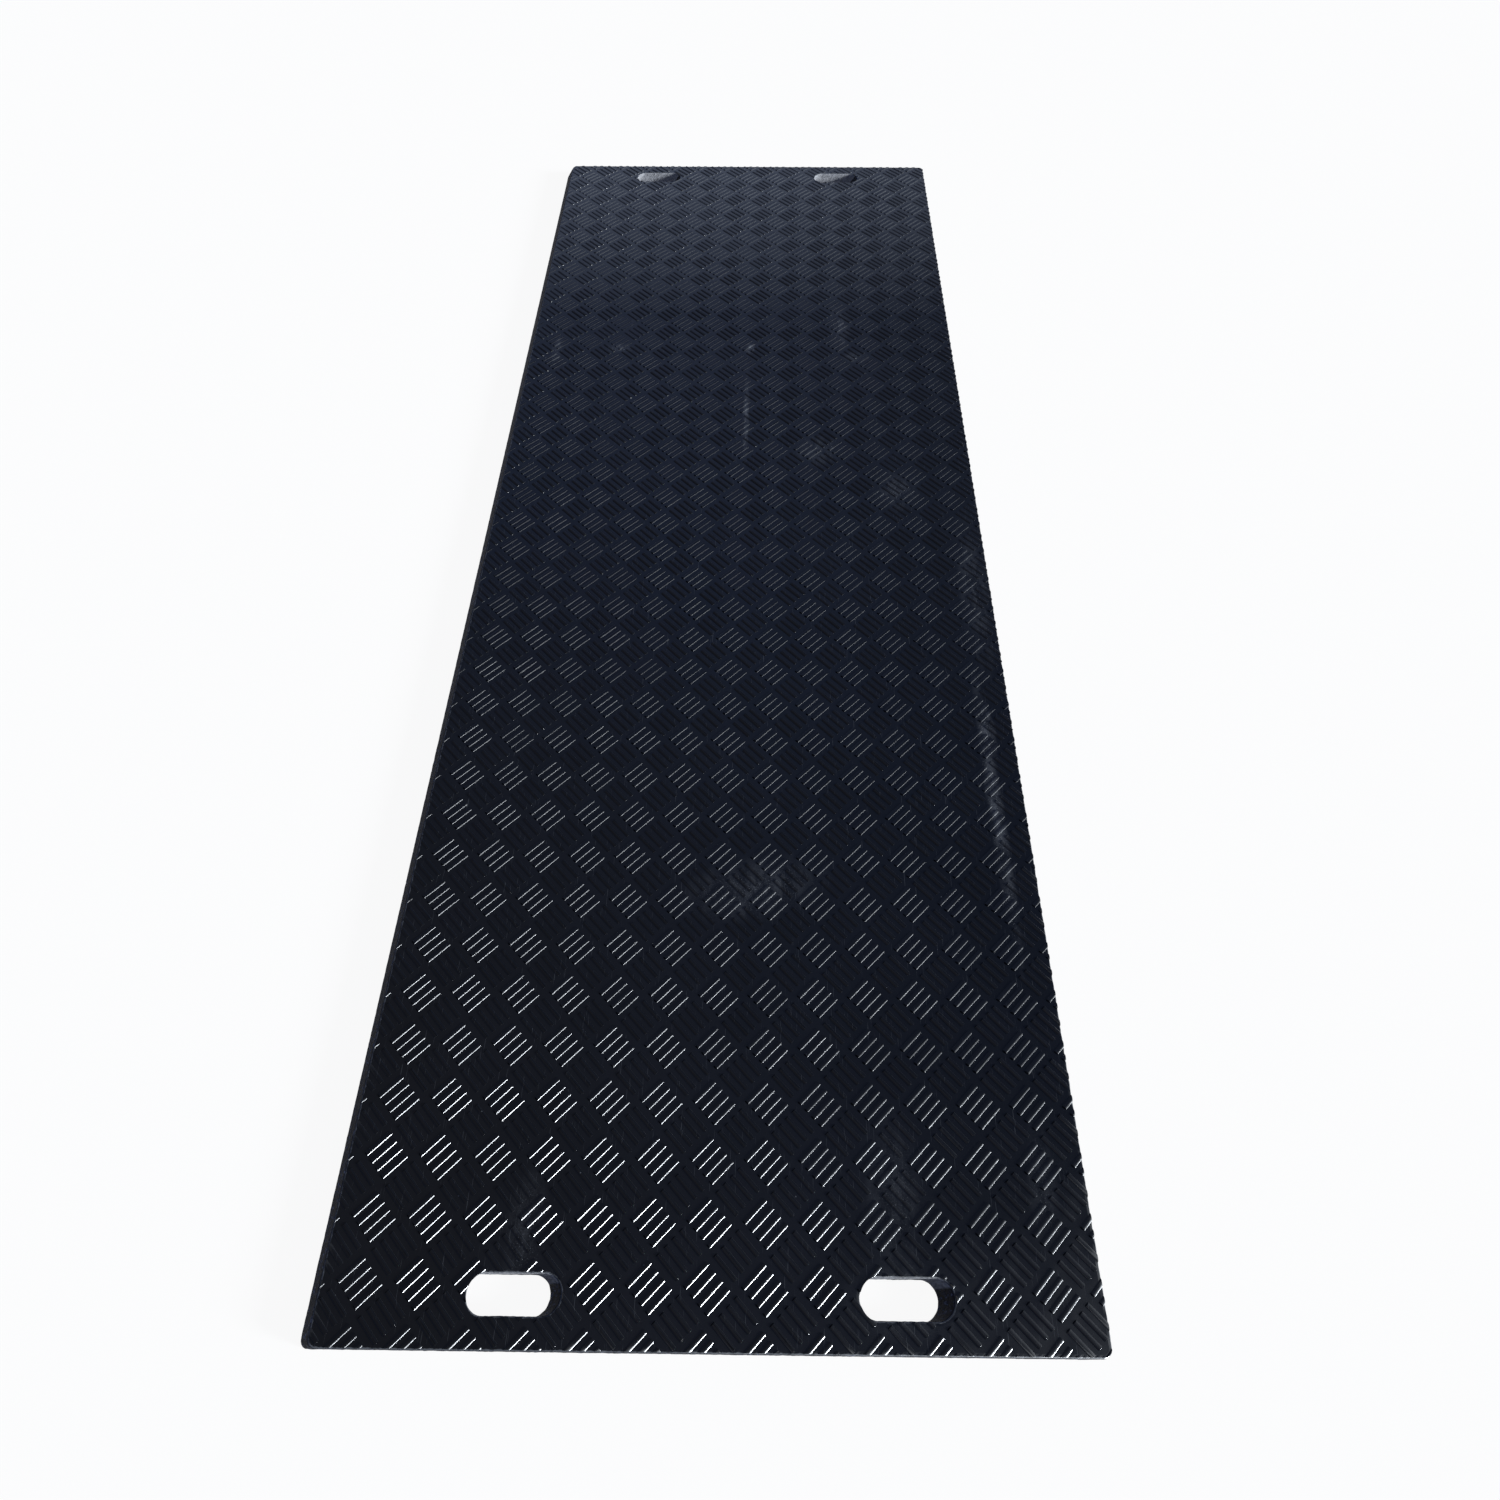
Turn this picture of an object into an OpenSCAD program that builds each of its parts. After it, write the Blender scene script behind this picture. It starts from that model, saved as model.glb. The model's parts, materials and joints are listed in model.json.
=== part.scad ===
// Ground protection mat: one moulded plate of recycled plastic with four hand slots.
// The mat lies flat with its underside on z = 0, its length along Y and its tread side up.

/* [Plate] */
// Width of the mat, from side to side
mat_w = 1000; // [900:10:1300]
// Length of the mat, from end to end
mat_l = 2800; // [1800:10:3600]
// Thickness of the plate, from the underside to the floor of the tread
mat_t = 20; // [12:0.5:40]
// Radius of the four corners, seen from above
corner_r = 12; // [6:1:40]
// Bevel along the plate's top and bottom edges
edge_bevel = 1.5; // [0.5:0.1:4]

/* [Hand slots] */
// Length of a hand slot, across the mat
slot_l = 120; // [90:1:160]
// Width of a hand slot, along the mat
slot_w = 46; // [30:1:60]
// Distance between the middles of the two slots at one end
slot_spacing = 500; // [300:5:600]
// Distance from the end of the mat to the middle of a slot
slot_inset = 60; // [50:1:120]
// Bevel round the rim of a slot, on both faces
slot_bevel = 2; // [0.5:0.1:4]

/* [Hidden] */

// Facets of a full circle in the preview
$fn = 96;

// How far a cut runs past the face that it opens
overcut = 1;

// Middles of the corner arcs
corner_x = mat_w / 2 - corner_r;
corner_y = mat_l / 2 - corner_r;

// Middles of the hand slots, and of the round ends of each
slot_x = slot_spacing / 2;
slot_y = mat_l / 2 - slot_inset;
slot_end_r = slot_w / 2;
slot_end_x = slot_l / 2 - slot_end_r;

mat_colour = "#191c22";

// Half of the plate's edge section: reach is the distance from the middle to the edge.
function edge_side(reach) = [
    [reach - edge_bevel, 0],
    [reach, edge_bevel],
    [reach, mat_t - edge_bevel],
    [reach - edge_bevel, mat_t]
];

// Half of a slot's section: the wall stands upright and opens by the bevel at both faces.
function slot_side(reach) = [
    [reach + slot_bevel + overcut, -overcut],
    [reach, slot_bevel],
    [reach, mat_t - slot_bevel],
    [reach + slot_bevel + overcut, mat_t + overcut]
];

// A half section closed at the axis, to be turned into a round end
module half_section(side) {
    first = side[0];
    last = side[len(side) - 1];
    polygon(concat([[0, first[1]]], side, [[0, last[1]]]));
}

// The same half section mirrored into a full one, to be pulled into a straight length
module full_section(side) {
    other_side = [for (i = [len(side) - 1 : -1 : 0]) [-side[i][0], side[i][1]]];
    polygon(concat(side, other_side));
}

module along_x(length) {
    rotate([90, 0, 90])
        linear_extrude(length, center = true) children();
}

module along_y(length) {
    rotate([90, 0, 0])
        linear_extrude(length, center = true) children();
}

// The plate with rounded corners: two straight bodies that cross, and a turned piece in each corner
module plate() {
    union() {
        along_y(2 * corner_y) full_section(edge_side(mat_w / 2));
        along_x(2 * corner_x) full_section(edge_side(mat_l / 2));
        for (x = [-corner_x, corner_x])
            for (y = [-corner_y, corner_y])
                translate([x, y, 0])
                    rotate_extrude() half_section(edge_side(corner_r));
    }
}

// The hole that one hand slot cuts: a straight middle between two round ends
module hand_slot() {
    along_x(2 * slot_end_x) full_section(slot_side(slot_end_r));
    for (x = [-slot_end_x, slot_end_x])
        translate([x, 0, 0])
            rotate_extrude() half_section(slot_side(slot_end_r));
}

module mat() {
    color(mat_colour)
        difference() {
            plate();
            for (x = [-slot_x, slot_x])
                for (y = [-slot_y, slot_y])
                    translate([x, y, 0]) hand_slot();
        }
}

mat();
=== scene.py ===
import json
import math

import bmesh
import bpy
from mathutils import Matrix, Vector, noise


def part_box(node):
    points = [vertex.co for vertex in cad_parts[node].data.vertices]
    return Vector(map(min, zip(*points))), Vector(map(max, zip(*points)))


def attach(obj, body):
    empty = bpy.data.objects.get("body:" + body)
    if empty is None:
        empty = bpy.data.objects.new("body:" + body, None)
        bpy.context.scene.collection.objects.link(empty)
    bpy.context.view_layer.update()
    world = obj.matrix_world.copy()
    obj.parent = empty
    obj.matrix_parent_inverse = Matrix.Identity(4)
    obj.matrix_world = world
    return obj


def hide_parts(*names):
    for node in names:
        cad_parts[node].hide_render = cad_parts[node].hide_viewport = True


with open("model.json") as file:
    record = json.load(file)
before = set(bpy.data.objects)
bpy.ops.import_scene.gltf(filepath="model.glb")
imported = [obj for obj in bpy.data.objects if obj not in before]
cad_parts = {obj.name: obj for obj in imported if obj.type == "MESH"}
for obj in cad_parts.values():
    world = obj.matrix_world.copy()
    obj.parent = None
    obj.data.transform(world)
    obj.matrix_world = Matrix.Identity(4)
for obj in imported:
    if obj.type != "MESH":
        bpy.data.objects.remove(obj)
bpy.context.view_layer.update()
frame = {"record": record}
room = bpy.context.scene

# The camera
# The photograph was taken on foot beside the mat's near left corner, and was squared up afterwards, so
# the picture's upright axis leans against its level one. The camera's axes lean alike: they are held in
# the inverse of its stand's place, because a turn alone keeps them square.
eye = Vector((-0.9857, -1.4370, 1.0986))
picture_across = Vector((0.9999, 0.0111, -0.0009))
picture_up = Vector((-0.4155, 0.8075, 0.4187))
picture_back = Vector((-0.5884, -0.5184, 0.6205))

camera_data = bpy.data.cameras.new("camera")
camera_data.sensor_width = 36
camera_data.lens = 24
camera_data.clip_start = 0.01
camera = bpy.data.objects.new("camera", camera_data)
camera_stand = bpy.data.objects.new("camera_stand", None)
room.collection.objects.link(camera)
room.collection.objects.link(camera_stand)
leaning = Matrix((picture_across, picture_up, picture_back)).transposed().to_4x4()
leaning.translation = eye
camera.parent = camera_stand
camera.matrix_parent_inverse = leaning
room.camera = camera

# The plate
# One sheet of pressed recycled polyethylene, 20 mm thick. Its outline and its four hand slots were cut
# after pressing, so the walls show the chips of the melt, and the rims are only broken by a scraper.
mat_low, mat_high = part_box("mat")
mat_width, mat_length, mat_top = mat_high.x - mat_low.x, mat_high.y - mat_low.y, mat_high.z
slots = next(m for m in frame["record"]["mounts"] if m["name"] == "hand_slots")["dims"]
slot_x = slots["spacing_x_mm"] / 1000 / 2
slot_y = slots["spacing_y_mm"] / 1000 / 2
slot_radius = slots["hole_r_mm"] / 1000
slot_reach = slots["slot_length_mm"] / 1000 / 2 - slot_radius

corner_radius = 0.012
corner_steps = 5
slot_end_steps = 46
rim_round = 0.0016
rim_round_steps = 2
rim_angle = math.radians(70)
wall_step = 0.004
wall_rows = 5
rim_band = 0.005


def add_outline(bm, margin=0.0):
    """The mat's cut lines as edges: its outer edge and its slots' rims, moved into the sheet by margin."""
    sheet = bmesh.ops.create_grid(bm, x_segments=1, y_segments=1, size=0.5)
    reach = (mat_width - 2 * margin, mat_length - 2 * margin, 1)
    bmesh.ops.scale(bm, vec=reach, verts=sheet["verts"])
    bmesh.ops.bevel(bm, geom=bm.verts[:], offset=corner_radius, segments=corner_steps,
                    profile=0.5, affect="VERTICES", material=-1)
    bmesh.ops.delete(bm, geom=bm.faces[:], context="FACES_ONLY")
    for x in (-slot_x, slot_x):
        for y in (-slot_y, slot_y):
            rim = bmesh.ops.create_circle(bm, radius=slot_radius + margin, segments=slot_end_steps)["verts"]
            half_step = Matrix.Rotation(math.pi / slot_end_steps, 3, "Z")
            bmesh.ops.rotate(bm, matrix=half_step, verts=rim)
            for vert in rim:
                vert.co.x += math.copysign(slot_reach, vert.co.x)
            bmesh.ops.translate(bm, vec=(x, y, 0), verts=rim)


def fill_and_raise(bm, height):
    """Fills between the cut lines and pulls the sheet up to a closed slab."""
    bmesh.ops.triangle_fill(bm, use_beauty=True, edges=bm.edges[:])
    bmesh.ops.inset_region(bm, faces=bm.faces[:], thickness=rim_band, use_boundary=True,
                           use_even_offset=True)
    raised = bmesh.ops.extrude_face_region(bm, geom=bm.faces[:], use_keep_orig=True)["geom"]
    lifted = [part for part in raised if isinstance(part, bmesh.types.BMVert)]
    bmesh.ops.translate(bm, vec=(0, 0, height), verts=lifted)
    bmesh.ops.recalc_face_normals(bm, faces=bm.faces[:])


def finish_piece(name, bm):
    """A new object at the origin that holds the bmesh."""
    mesh = bpy.data.meshes.new(name)
    bm.to_mesh(mesh)
    bm.free()
    piece = bpy.data.objects.new(name, mesh)
    room.collection.objects.link(piece)
    return piece


# The cut lines are split into steps of 4 mm at most, all the edges of one length at a time.
bm = bmesh.new()
add_outline(bm)
for edge_length in sorted({round(e.calc_length(), 5) for e in bm.edges}, reverse=True):
    alike = [e for e in bm.edges if abs(e.calc_length() - edge_length) < 1e-5]
    cuts = int(edge_length / wall_step)
    if cuts:
        bmesh.ops.subdivide_edges(bm, edges=alike, cuts=cuts)
fill_and_raise(bm, mat_top)
uprights = [e for e in bm.edges if abs(e.verts[0].co.z - e.verts[1].co.z) > mat_top / 2]
bmesh.ops.subdivide_edges(bm, edges=uprights, cuts=wall_rows - 1, use_grid_fill=True)
rims = [e for e in bm.edges if len(e.link_faces) == 2 and e.calc_face_angle() > rim_angle]
bmesh.ops.bevel(bm, geom=rims, offset=rim_round, segments=rim_round_steps, profile=0.5,
                affect="EDGES", material=-1)

# The saw tears grains of a few millimetres out of the walls and nibbles at the rims. Two attributes go
# with it for the materials: how pale the skin is torn, and which slot walls face the lamp. Those are
# painted a pale lit grey.
tear_grain = 0.0035
tear_depth = 0.0005
rim_tear_depth = 0.0003
mean_tear = 0.6
wall_paleness = 0.4
slot_band = slot_y + slot_radius + rim_band
# Which way a normal points tells the parts of the skin apart. These are its shares along Z, then along Y.
level = 0.999
lying = 0.6
slanting = 0.2
facing_near_end = -0.6
bm.normal_update()
rim = bm.verts.layers.float.new("rim")
lamp_facing_wall = bm.verts.layers.float.new("lamp_facing_wall")
for vert in bm.verts:
    flatness = abs(vert.normal.z)
    # Slot walls that face the near end face the lamp; they are marked for a painted lit grey.
    if vert.normal.y < facing_near_end and abs(vert.co.y) < slot_band:
        vert[lamp_facing_wall] = 1.0
    if flatness < level:
        depth = tear_depth + (rim_tear_depth - tear_depth) * flatness
        torn = noise.noise(vert.co / tear_grain) + 0.5 * noise.noise(vert.co / (3 * tear_grain))
        vert.co -= vert.normal * depth * (mean_tear + torn)
        vert.co.z = min(max(vert.co.z, 0.0), mat_top)
        vert[rim] = 1.0 if flatness > slanting else wall_paleness
for face in bm.faces:
    face.smooth = abs(face.normal.z) < level
    face.material_index = 0 if abs(face.normal.z) > lying else 1
plate = finish_piece("plate", bm)


def srgb(code):
    """A hex colour as Blender's linear RGBA."""
    parts = [int(code[i:i + 2], 16) / 255 for i in (1, 3, 5)]
    return (*[p / 12.92 if p <= 0.04045 else ((p + 0.055) / 1.055) ** 2.4 for p in parts], 1.0)


def add_node(tree, kind, inputs=None, **settings):
    """A node with its settings and links. An input takes a value, a socket or a node's first output.
    A Mix of colours takes its share at input 0 and the two colours at 6 and 7."""
    made = tree.nodes.new(kind)
    for name, value in settings.items():
        setattr(made, name, value)
    for name, value in (inputs or {}).items():
        if isinstance(value, bpy.types.Node):
            value = next(socket for socket in value.outputs if socket.enabled)
        if isinstance(value, bpy.types.NodeSocket):
            tree.links.new(value, made.inputs[name])
        else:
            made.inputs[name].default_value = value
    return made


# Where dust and scuffs lie on the top face: middle, reach across and along (all m), turn in degrees
# and strength. The first three, by the right edge, are a dry splash. The others are scuffs of use.
dust_places = (
    (0.452, -0.490, 0.016, 0.075, 3, 0.90),
    (0.449, -0.640, 0.015, 0.300, 1, 0.65),
    (0.466, -0.170, 0.034, 0.230, 0, 0.30),
    (0.050, -0.790, 0.130, 0.060, 12, 0.35),
    (0.240, -1.220, 0.050, 0.120, 0, 0.22),
    (0.250, -1.340, 0.090, 0.050, 0, 0.25),
    (-0.245, -1.270, 0.030, 0.080, 0, 0.30),
    (0.440, -1.205, 0.022, 0.090, 0, 0.25),
    (0.020, 0.570, 0.013, 0.024, 0, 1.2),
    (0.014, 0.330, 0.008, 0.180, 0, 0.65),
    (-0.290, 0.570, 0.036, 0.020, 0, 0.70),
    (-0.440, 0.560, 0.014, 0.050, 0, 0.60),
    (0.270, 0.540, 0.036, 0.024, 0, 0.50),
    (0.235, 0.655, 0.030, 0.110, 0, 0.35),
    (0.170, 0.220, 0.055, 0.055, 0, 0.40),
    (0.335, 0.100, 0.055, 0.065, 0, 0.40),
)

# Polyethylene melted from many sources comes out of the press near black. Its waxy skin is glossy in
# the hollows of the tread, half-gloss on the flanks of the bars, and worn smooth again on their crowns.
plastic = bpy.data.materials.new("pressed_polyethylene")
plastic.use_nodes = True
tree = plastic.node_tree
tree.nodes.clear()
place = add_node(tree, "ShaderNodeTexCoord").outputs["Object"]

patches = None
for x, y, across, along, turn, strength in dust_places:
    patch_place = add_node(tree, "ShaderNodeMapping", {"Vector": place, "Location": (x, y, mat_top),
                                                       "Rotation": (0, 0, math.radians(turn)),
                                                       "Scale": (across, along, 1)}, vector_type="TEXTURE")
    patch = add_node(tree, "ShaderNodeTexGradient", {"Vector": patch_place}, gradient_type="SPHERICAL")
    shown = add_node(tree, "ShaderNodeMath", {0: patch, 1: strength}, operation="MULTIPLY")
    if patches:
        shown = add_node(tree, "ShaderNodeMath", {0: patches, 1: shown}, operation="MAXIMUM")
    patches = shown

# Inside those places the dust lies in wisps 14 mm wide and 40 mm long, with grit of 2 mm between.
wisp_place = add_node(tree, "ShaderNodeMapping", {"Vector": place, "Scale": (1, 0.35, 1)})
wisp_noise = add_node(tree, "ShaderNodeTexNoise", {"Vector": wisp_place, "Scale": 1000 / 14, "Detail": 6.0})
wisps = add_node(tree, "ShaderNodeMapRange", {"Value": wisp_noise, "From Min": 0.42, "From Max": 0.66,
                                              "To Max": 0.7})
grit_noise = add_node(tree, "ShaderNodeTexNoise", {"Vector": place, "Scale": 1000 / 2.2, "Detail": 3.0})
grit = add_node(tree, "ShaderNodeMapRange", {"Value": grit_noise, "From Min": 0.45, "From Max": 0.7,
                                             "To Max": 0.5})
wisps_and_grit = add_node(tree, "ShaderNodeMath", {0: wisps, 1: grit}, operation="ADD")
film = add_node(tree, "ShaderNodeMath", {0: patches, 1: wisps_and_grit}, operation="MULTIPLY")

# Crumbs of up to 2 mm are strewn thinly over the mat, and grains of up to 1.5 mm gather in dusty places.
crumbs = add_node(tree, "ShaderNodeTexVoronoi", {"Vector": place, "Scale": 1000 / 36})
crumb_size = add_node(tree, "ShaderNodeMapRange", {"Value": crumbs, "From Min": 0.022, "From Max": 0.03,
                                                   "To Min": 0.6, "To Max": 0.0})
crumb_chosen = add_node(tree, "ShaderNodeMapRange", {"Value": crumbs.outputs["Color"], "From Min": 0.62,
                                                     "From Max": 0.64})
crumb = add_node(tree, "ShaderNodeMath", {0: crumb_size, 1: crumb_chosen}, operation="MULTIPLY")
grains = add_node(tree, "ShaderNodeTexVoronoi", {"Vector": place, "Scale": 1000 / 3.8})
grain_size = add_node(tree, "ShaderNodeMapRange", {"Value": grains, "From Min": 0.16, "From Max": 0.22,
                                                   "To Min": 1.0, "To Max": 0.0})
grain_place = add_node(tree, "ShaderNodeMapRange", {"Value": patches, "From Min": 0.05, "From Max": 0.5})
loose_grain = add_node(tree, "ShaderNodeMath", {0: grain_size, 1: grain_place}, operation="MULTIPLY")

# Scratches about 1 mm wide and 50 mm long in three directions, drawn wider than real ones to show.
scratches = None
for turn, width, share in ((0.35, 1.1, 0.735), (-0.5, 0.9, 0.75), (1.2, 1.0, 0.76)):
    scratch_place = add_node(tree, "ShaderNodeMapping", {"Vector": place, "Rotation": (0, 0, turn),
                                                         "Scale": (1, 0.02, 0.2)})
    scratch_noise = add_node(tree, "ShaderNodeTexNoise", {"Vector": scratch_place, "Scale": 1000 / width,
                                                          "Detail": 1.0})
    scratch = add_node(tree, "ShaderNodeMapRange", {"Value": scratch_noise, "From Min": share,
                                                    "From Max": share + 0.03, "To Max": 0.25})
    if scratches:
        scratch = add_node(tree, "ShaderNodeMath", {0: scratches, 1: scratch}, operation="MAXIMUM")
    scratches = scratch

# The scraped rims are pale where the skin is gone, in lengths of about 6 mm.
rim_share = add_node(tree, "ShaderNodeAttribute", attribute_name="rim").outputs["Fac"]
rim_noise = add_node(tree, "ShaderNodeTexNoise", {"Vector": place, "Scale": 1000 / 6, "Detail": 4.0})
rim_broken = add_node(tree, "ShaderNodeMath", {0: rim_share, 1: rim_noise}, operation="ADD")
ragged = add_node(tree, "ShaderNodeMapRange", {"Value": rim_broken, "From Min": 1.25, "From Max": 1.5,
                                               "To Max": 0.6})

dusty = film
for more in (crumb, loose_grain, scratches, ragged):
    dusty = add_node(tree, "ShaderNodeMath", {0: dusty, 1: more}, operation="MAXIMUM")

# The melt clouds over lengths of 160 mm, and the far end is lightened by a painted sky reflection.
cloud = add_node(tree, "ShaderNodeTexNoise", {"Vector": place, "Scale": 1000 / 160, "Detail": 3.0})
clouded = add_node(tree, "ShaderNodeMapRange", {"Value": cloud, "From Min": 0.35, "From Max": 0.65})
body = add_node(tree, "ShaderNodeMix", {0: clouded, 6: srgb("#08090b"), 7: srgb("#0b0c0f")},
                data_type="RGBA")
place_parts = add_node(tree, "ShaderNodeSeparateXYZ", {0: place}).outputs
# Painted reflection: the colour lightens towards the far end, where the sky mirrors brightest.
far_painted_reflection = add_node(tree, "ShaderNodeMapRange", {"Value": place_parts["Y"], "From Min": 0.70,
                                                 "From Max": 1.35, "To Max": 0.18})
# This share holds the real dust and the painted reflection at the far end.
dust_and_painted_reflection = add_node(tree, "ShaderNodeMath", {0: dusty, 1: 0.5, 2: far_painted_reflection}, operation="MULTIPLY_ADD")
cover = add_node(tree, "ShaderNodeMix", {0: dust_and_painted_reflection, 6: body, 7: srgb("#8f9296")}, data_type="RGBA")

# Roughness by the height over the plate's face: 0 to 1.3 mm is 0 to 1 on the ramp.
hollow, flank, crown = 0.15, 0.40, 0.18
rise = add_node(tree, "ShaderNodeMapRange", {"Value": place_parts["Z"], "From Min": mat_top,
                                             "From Max": mat_top + 0.0013})
gloss = add_node(tree, "ShaderNodeValToRGB", {0: rise})
gloss.color_ramp.elements[0].color = (hollow, hollow, hollow, 1)
gloss.color_ramp.elements[1].position = 0.62
gloss.color_ramp.elements[1].color = (crown, crown, crown, 1)
for position in (0.02, 0.50):
    gloss.color_ramp.elements.new(position).color = (flank, flank, flank, 1)
dusty_gloss = add_node(tree, "ShaderNodeMath", {0: dusty, 1: 0.15, 2: gloss}, operation="MULTIPLY_ADD")
wave_noise = add_node(tree, "ShaderNodeTexNoise", {"Vector": place, "Scale": 1000 / 45, "Detail": 1.0})
skin_waves = add_node(tree, "ShaderNodeBump", {"Height": wave_noise, "Strength": 1.0, "Distance": 0.0008})
skin = add_node(tree, "ShaderNodeBsdfPrincipled", {"Base Color": cover, "Roughness": dusty_gloss,
                                                   "IOR": 1.5, "Normal": skin_waves})
add_node(tree, "ShaderNodeOutputMaterial", {"Surface": skin})

# The sawn walls are dull, and show the cut flakes of the many plastics that went into the melt. The
# flakes are 2.4 mm across. The slot walls that face the near end also face the lamp; they get a painted
# lit grey in patches.
sawn = bpy.data.materials.new("sawn_polyethylene")
sawn.use_nodes = True
tree = sawn.node_tree
tree.nodes.clear()
place = add_node(tree, "ShaderNodeTexCoord").outputs["Object"]
flakes = add_node(tree, "ShaderNodeTexVoronoi", {"Vector": place, "Scale": 1000 / 2.4})
flake_tone = add_node(tree, "ShaderNodeMapRange", {"Value": flakes.outputs["Color"], "From Min": 0.72,
                                                   "From Max": 0.95, "To Max": 0.4})
torn = add_node(tree, "ShaderNodeTexNoise", {"Vector": place, "Scale": 1000 / 3.5, "Detail": 4.0})
torn_share = add_node(tree, "ShaderNodeMapRange", {"Value": torn, "From Min": 0.35, "From Max": 0.65})
sawn_body = add_node(tree, "ShaderNodeMix", {0: torn_share, 6: srgb("#07080d"), 7: srgb("#101322")},
                     data_type="RGBA")
flaked = add_node(tree, "ShaderNodeMix", {0: flake_tone, 6: sawn_body, 7: srgb("#7f8aa8")},
                  data_type="RGBA")
lamp_facing_share = add_node(tree, "ShaderNodeAttribute", attribute_name="lamp_facing_wall").outputs["Fac"]
painted_light_patches = add_node(tree, "ShaderNodeMath", {0: torn_share, 1: 0.4, 2: 0.5}, operation="MULTIPLY_ADD")
painted_wall_light = add_node(tree, "ShaderNodeMath", {0: lamp_facing_share, 1: painted_light_patches}, operation="MULTIPLY")
# Painted light: the walls that face the lamp are mixed toward a pale lit grey.
sawn_colour = add_node(tree, "ShaderNodeMix", {0: painted_wall_light, 6: flaked, 7: srgb("#9e9ea0")},
                       data_type="RGBA")
sawn_bump = add_node(tree, "ShaderNodeBump", {"Height": torn, "Strength": 1.0, "Distance": 0.0012})
sawn_skin = add_node(tree, "ShaderNodeBsdfPrincipled", {"Base Color": sawn_colour, "Roughness": 0.8,
                                                        "IOR": 1.5, "Specular IOR Level": 0.25,
                                                        "Normal": sawn_bump})
add_node(tree, "ShaderNodeOutputMaterial", {"Surface": sawn_skin})

plate.data.materials.append(plastic)
plate.data.materials.append(sawn)
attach(plate, "root")
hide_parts("mat")

# The tread
# Raised bars pressed into the top face by the mould, in clusters of four that alternate in direction,
# like basket work. The mould's pattern lies a little off square, and the cut lines run through it.
cluster_pitch = 0.074
bar_pitch = 0.0132
bar_length = 0.039
bar_width = 0.0068
bar_sunk = 0.0003
bar_end_round = 0.0024
bar_end_steepness = 0.15
bar_slopes = ((0.00050, 0.00064), (0.00095, 0.00057), (0.00145, 0.00015))
lean = math.radians(45)
pattern_turn = math.radians(-0.28)
pattern_start = Vector((-0.5105, 1.4094, mat_top))
clusters_across, clusters_along = 15, 39
across_step = Vector((math.cos(pattern_turn), math.sin(pattern_turn), 0)) * cluster_pitch
along_step = Vector((math.sin(pattern_turn), -math.cos(pattern_turn), 0)) * cluster_pitch


def add_bar(bm, seat):
    """One ridge: a foot sunk into the plate, then three slopes, each given by its run and its rise."""
    earlier = set(bm.verts)
    block = bmesh.ops.create_cube(bm, size=1)["verts"]
    bmesh.ops.scale(bm, vec=(bar_length, bar_width, bar_sunk), verts=block)
    half = bar_sunk / 2
    bmesh.ops.translate(bm, vec=(0, 0, -half), verts=block)
    new_edges = [e for e in bm.edges if not earlier.intersection(e.verts)]
    upright = [e for e in new_edges if abs(e.verts[0].co.z - e.verts[1].co.z) > half]
    foot = bmesh.ops.bevel(bm, geom=upright, offset=bar_end_round, segments=1, profile=0.5,
                           affect="EDGES", material=-1)["verts"]
    top = next(f for v in foot for f in v.link_faces if min(w.co.z for w in f.verts) > -half)
    for run, rise in bar_slopes:
        bmesh.ops.inset_region(bm, faces=[top], thickness=run, depth=rise, use_even_offset=True)
    bar = [v for v in bm.verts if v not in earlier]
    for vert in bar:
        from_end = bar_length / 2 - abs(vert.co.x)
        vert.co.x = math.copysign(bar_length / 2 - from_end * bar_end_steepness, vert.co.x)
    bmesh.ops.transform(bm, matrix=seat, verts=bar)


def make_tread(name, shift, direction):
    """All the clusters of one direction, repeated across and along. They start shift pitches further on."""
    bm = bmesh.new()
    middle = Matrix.Translation(pattern_start + shift * (across_step + along_step))
    turned = Matrix.Rotation(pattern_turn + direction, 4, "Z")
    for place in (-1.5, -0.5, 0.5, 1.5):
        add_bar(bm, middle @ turned @ Matrix.Translation((0, place * bar_pitch, 0)))
    bmesh.ops.recalc_face_normals(bm, faces=bm.faces[:])
    tread = finish_piece(name, bm)
    for step, count in ((across_step, clusters_across), (along_step, clusters_along)):
        repeat = tread.modifiers.new("repeat", "ARRAY")
        repeat.use_relative_offset = False
        repeat.use_constant_offset = True
        repeat.constant_offset_displace = step
        repeat.count = count
    return tread


rising_tread = make_tread("tread_rising", 0.0, lean)
falling_tread = make_tread("tread_falling", 0.5, -lean)

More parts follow.
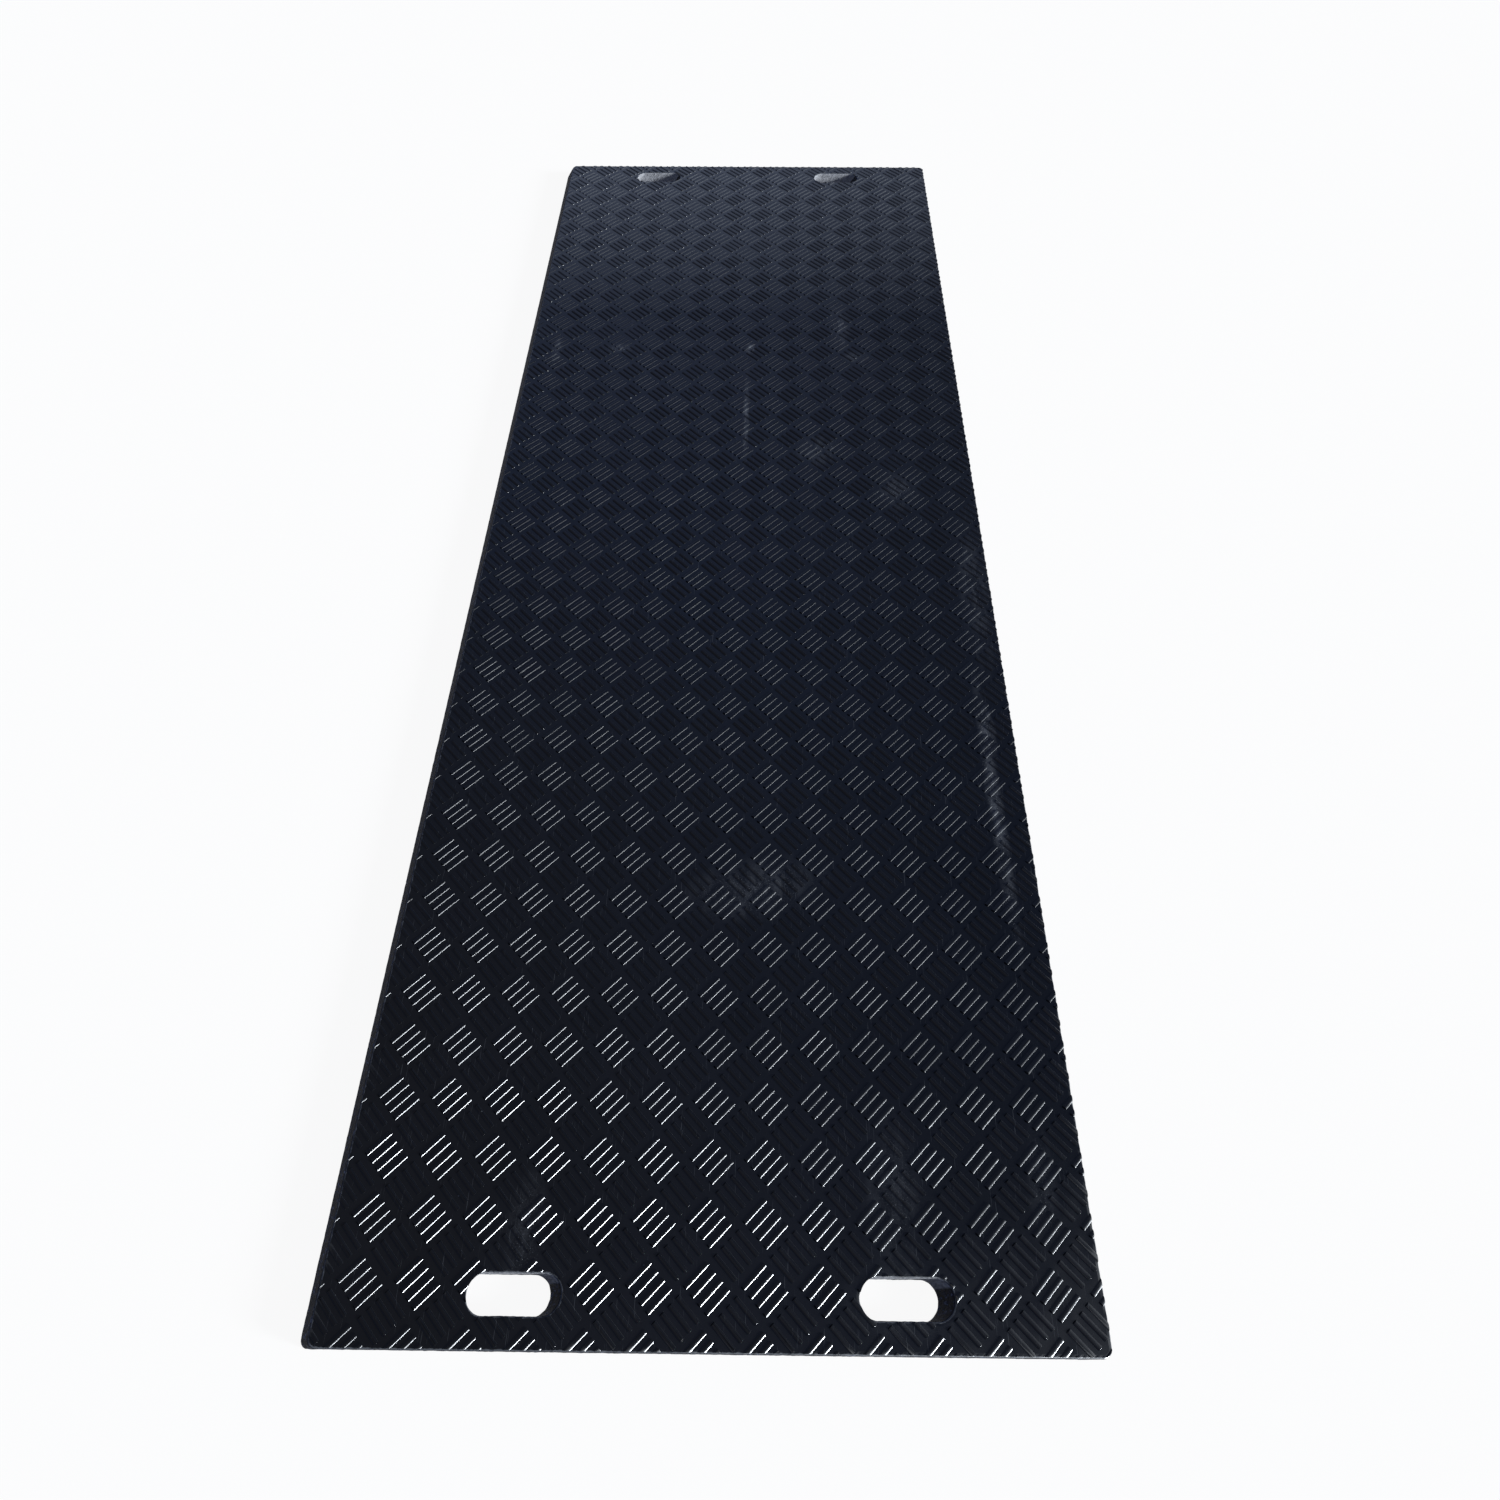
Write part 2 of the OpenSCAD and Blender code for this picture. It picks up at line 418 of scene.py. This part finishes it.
# Both directions end where the saw ran, so they are cut to the plate's outline and to its slots. The
# scraper that broke the outer rim has taken some of their height there, and use has worn the rest
# unevenly, over lengths of about 110 mm (9 to the metre) and 14 mm (70 to the metre).
cutting_depth = 0.02
scraped_band = 0.004
scraped_height = 0.6
worn_height = 0.9
joint_angle = math.radians(30)
cutting_bm = bmesh.new()
add_outline(cutting_bm, margin=rim_round)
fill_and_raise(cutting_bm, cutting_depth)
bmesh.ops.translate(cutting_bm, vec=(0, 0, mat_top - cutting_depth / 2), verts=cutting_bm.verts)
cutting_form = finish_piece("cutting_form", cutting_bm)
for tread in (rising_tread, falling_tread):
    cut = tread.modifiers.new("cut", "BOOLEAN")
    cut.operation = "INTERSECT"
    cut.solver = "MANIFOLD"
    cut.object = cutting_form
    whole = tread.evaluated_get(bpy.context.evaluated_depsgraph_get())
    cut_mesh = bpy.data.meshes.new_from_object(whole)
    tread.modifiers.clear()
    tread.data = cut_mesh
    for vert in cut_mesh.vertices:
        if vert.co.z > mat_top:
            uneven = 0.25 * noise.noise(vert.co * 9) + 0.08 * noise.noise(vert.co * 70)
            kept = min(1, worn_height + uneven)
            if min(mat_width / 2 - abs(vert.co.x), mat_length / 2 - abs(vert.co.y)) < scraped_band:
                kept *= scraped_height
            vert.co.z = mat_top + (vert.co.z - mat_top) * kept
    cut_mesh.materials.clear()
    cut_mesh.shade_smooth()
    cut_mesh.set_sharp_from_angle(angle=joint_angle)
    shading = tread.modifiers.new("long_faces_first", "WEIGHTED_NORMAL")
    shading.keep_sharp = True
    cut_mesh.materials.append(plastic)
    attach(tread, "root")
bpy.data.objects.remove(cutting_form)

# The floor
# A wide white sheet, level under the mat. It shows white by itself, so that it is white without more
# light on the mat, and a share of plain paper under that keeps the mat's shadow.
floor_reach = 15
shown_white = 0.93
floor_bm = bmesh.new()
bmesh.ops.create_grid(floor_bm, x_segments=1, y_segments=1, size=floor_reach)
floor = finish_piece("floor", floor_bm)
white_paper = bpy.data.materials.new("white_paper")
white_paper.use_nodes = True
tree = white_paper.node_tree
tree.nodes.clear()
rays = add_node(tree, "ShaderNodeLightPath").outputs
mirrored = add_node(tree, "ShaderNodeMath", {0: rays["Is Glossy Ray"], 1: rays["Is Transmission Ray"]},
                    operation="MAXIMUM")
seen = add_node(tree, "ShaderNodeMath", {0: rays["Is Camera Ray"], 1: mirrored}, operation="MAXIMUM")
white_share = add_node(tree, "ShaderNodeMath", {0: seen, 1: shown_white}, operation="MULTIPLY")
paper = add_node(tree, "ShaderNodeBsdfDiffuse", {"Color": srgb("#f2f2f2")})
white = add_node(tree, "ShaderNodeEmission", {"Color": (1, 1, 1, 1), "Strength": 1.0})
sheet = add_node(tree, "ShaderNodeMixShader", {0: white_share, 1: paper, 2: white})
add_node(tree, "ShaderNodeOutputMaterial", {"Surface": sheet})
floor.data.materials.append(white_paper)

# The light
# One slightly cool lamp stands 13 degrees over the horizon to the right. It is as wide as the sun looks
# behind thin cloud, and open sky lies all round.
towards_lamp = Vector((0.934, -0.277, 0.225))
lamp_data = bpy.data.lights.new("low_lamp", "SUN")
lamp_data.energy = 8.0
lamp_data.color = (0.88, 0.94, 1.0)
lamp_data.angle = math.radians(13)
lamp = bpy.data.objects.new("low_lamp", lamp_data)
room.collection.objects.link(lamp)
lamp.rotation_euler = towards_lamp.to_track_quat("Z", "Y").to_euler()

# The sky is palest near the horizon and about the lamp, and dimmer low down on the right. Camera and
# transmission rays see plain white. Glossy rays see the sky, because a black plastic shows hardly
# anything but what it mirrors, and under a white sky it would turn grey.
glow_edge, glow_heart = math.radians(32), math.radians(12)
sky = bpy.data.worlds.new("sky")
room.world = sky
sky.use_nodes = True
tree = sky.node_tree
tree.nodes.clear()
direction = add_node(tree, "ShaderNodeTexCoord").outputs["Generated"]
parts = add_node(tree, "ShaderNodeSeparateXYZ", {0: direction}).outputs
ramp = add_node(tree, "ShaderNodeValToRGB", {0: parts["Z"]})
stops = ramp.color_ramp.elements
stops[0].position = 0.34
stops[0].color = (0.142, 0.177, 0.288, 1)
stops[1].position = 0.85
stops[1].color = (0.140, 0.152, 0.205, 1)
middle_stop = stops.new(0.57)
middle_stop.color = (0.105, 0.150, 0.295, 1)
to_the_right = add_node(tree, "ShaderNodeMath", {0: parts["X"], 1: parts["Z"]}, operation="SUBTRACT")
kept_light = add_node(tree, "ShaderNodeMapRange", {"Value": to_the_right, "From Min": -0.04,
                                                   "From Max": 0.20, "To Min": 1.0, "To Max": 0.45})
shaded = add_node(tree, "ShaderNodeVectorMath", {0: ramp, "Scale": kept_light}, operation="SCALE")
closeness = add_node(tree, "ShaderNodeVectorMath", {0: direction, 1: towards_lamp}, operation="DOT_PRODUCT")
glow = add_node(tree, "ShaderNodeMapRange", {"Value": closeness, "From Min": math.cos(glow_edge),
                                             "From Max": math.cos(glow_heart), "To Max": 1.3},
                interpolation_type="SMOOTHSTEP")
glowing = add_node(tree, "ShaderNodeMix", {0: glow, 6: shaded, 7: (0.88, 0.94, 1.0, 1)}, data_type="RGBA",
                   blend_type="ADD", clamp_factor=False)
lit = add_node(tree, "ShaderNodeBackground", {"Color": glowing, "Strength": 1.0})
white = add_node(tree, "ShaderNodeBackground", {"Color": (1, 1, 1, 1), "Strength": 1.0})
rays = add_node(tree, "ShaderNodeLightPath").outputs
seen = add_node(tree, "ShaderNodeMath", {0: rays["Is Camera Ray"], 1: rays["Is Transmission Ray"]},
                operation="MAXIMUM")
blend = add_node(tree, "ShaderNodeMixShader", {0: seen, 1: lit, 2: white})
add_node(tree, "ShaderNodeOutputWorld", {"Surface": blend})

room.view_settings.view_transform = "Standard"
